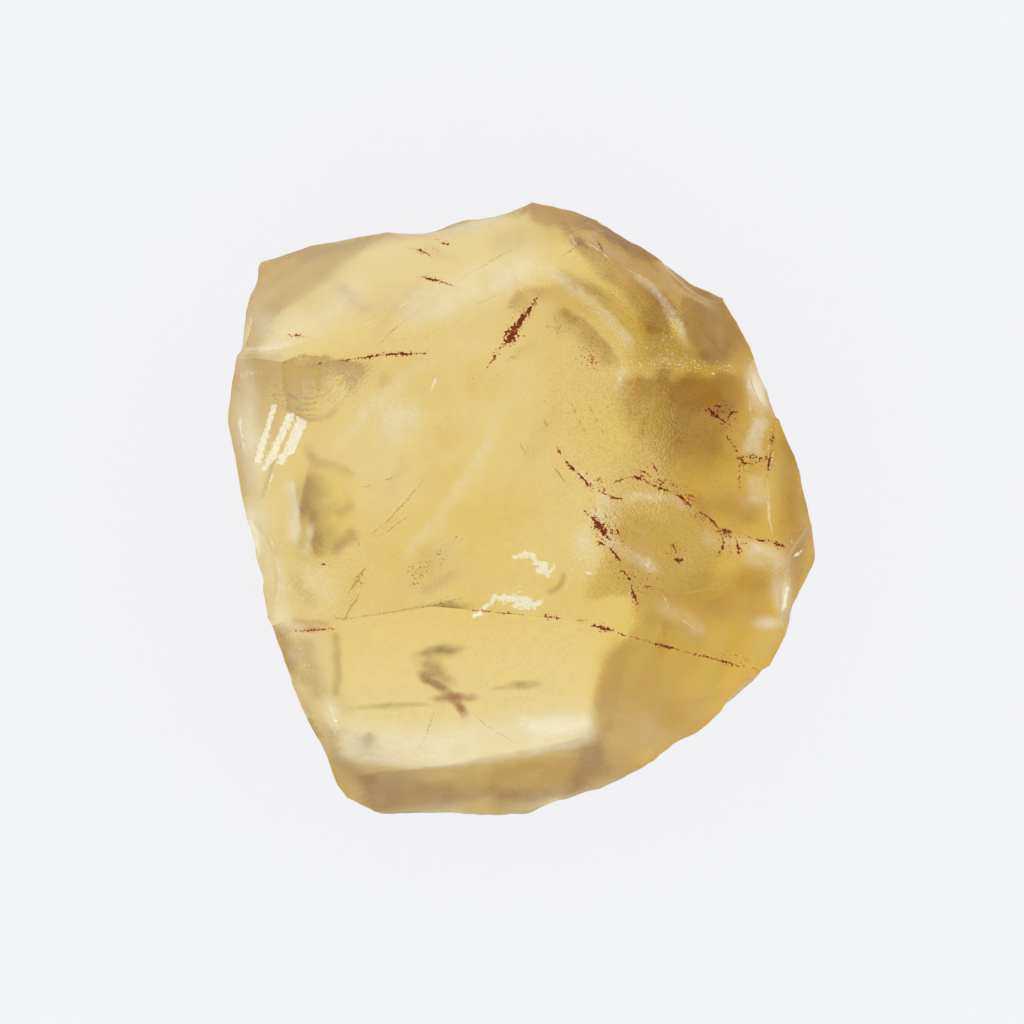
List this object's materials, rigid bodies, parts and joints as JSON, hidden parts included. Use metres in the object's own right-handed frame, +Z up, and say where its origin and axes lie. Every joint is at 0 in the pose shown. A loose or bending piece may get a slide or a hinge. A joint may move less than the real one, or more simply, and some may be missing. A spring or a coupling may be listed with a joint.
{
  "type": "rough citrine crystal",
  "caption": "Blocky, transparent yellow lump of broken quartz with flat breaks, a scooped hollow, roped ridges and a flat face it rests on.",
  "frame": {"origin": "centre of the stone's bounding box, on the flat face it rests on", "axes": "+Z up from the resting face to the broad upper face, +Y along the longest extent to the roped peak, +X to the scooped side"},
  "size_m": [0.0365, 0.0386, 0.0243],
  "materials": {
    "citrine": "clear golden quartz, glossy on the flat breaks, frosted on the rough ones, with rusty stains"
  },
  "bodies": {
    "root": {"citrine": "citrine"}
  },
  "joints": []
}
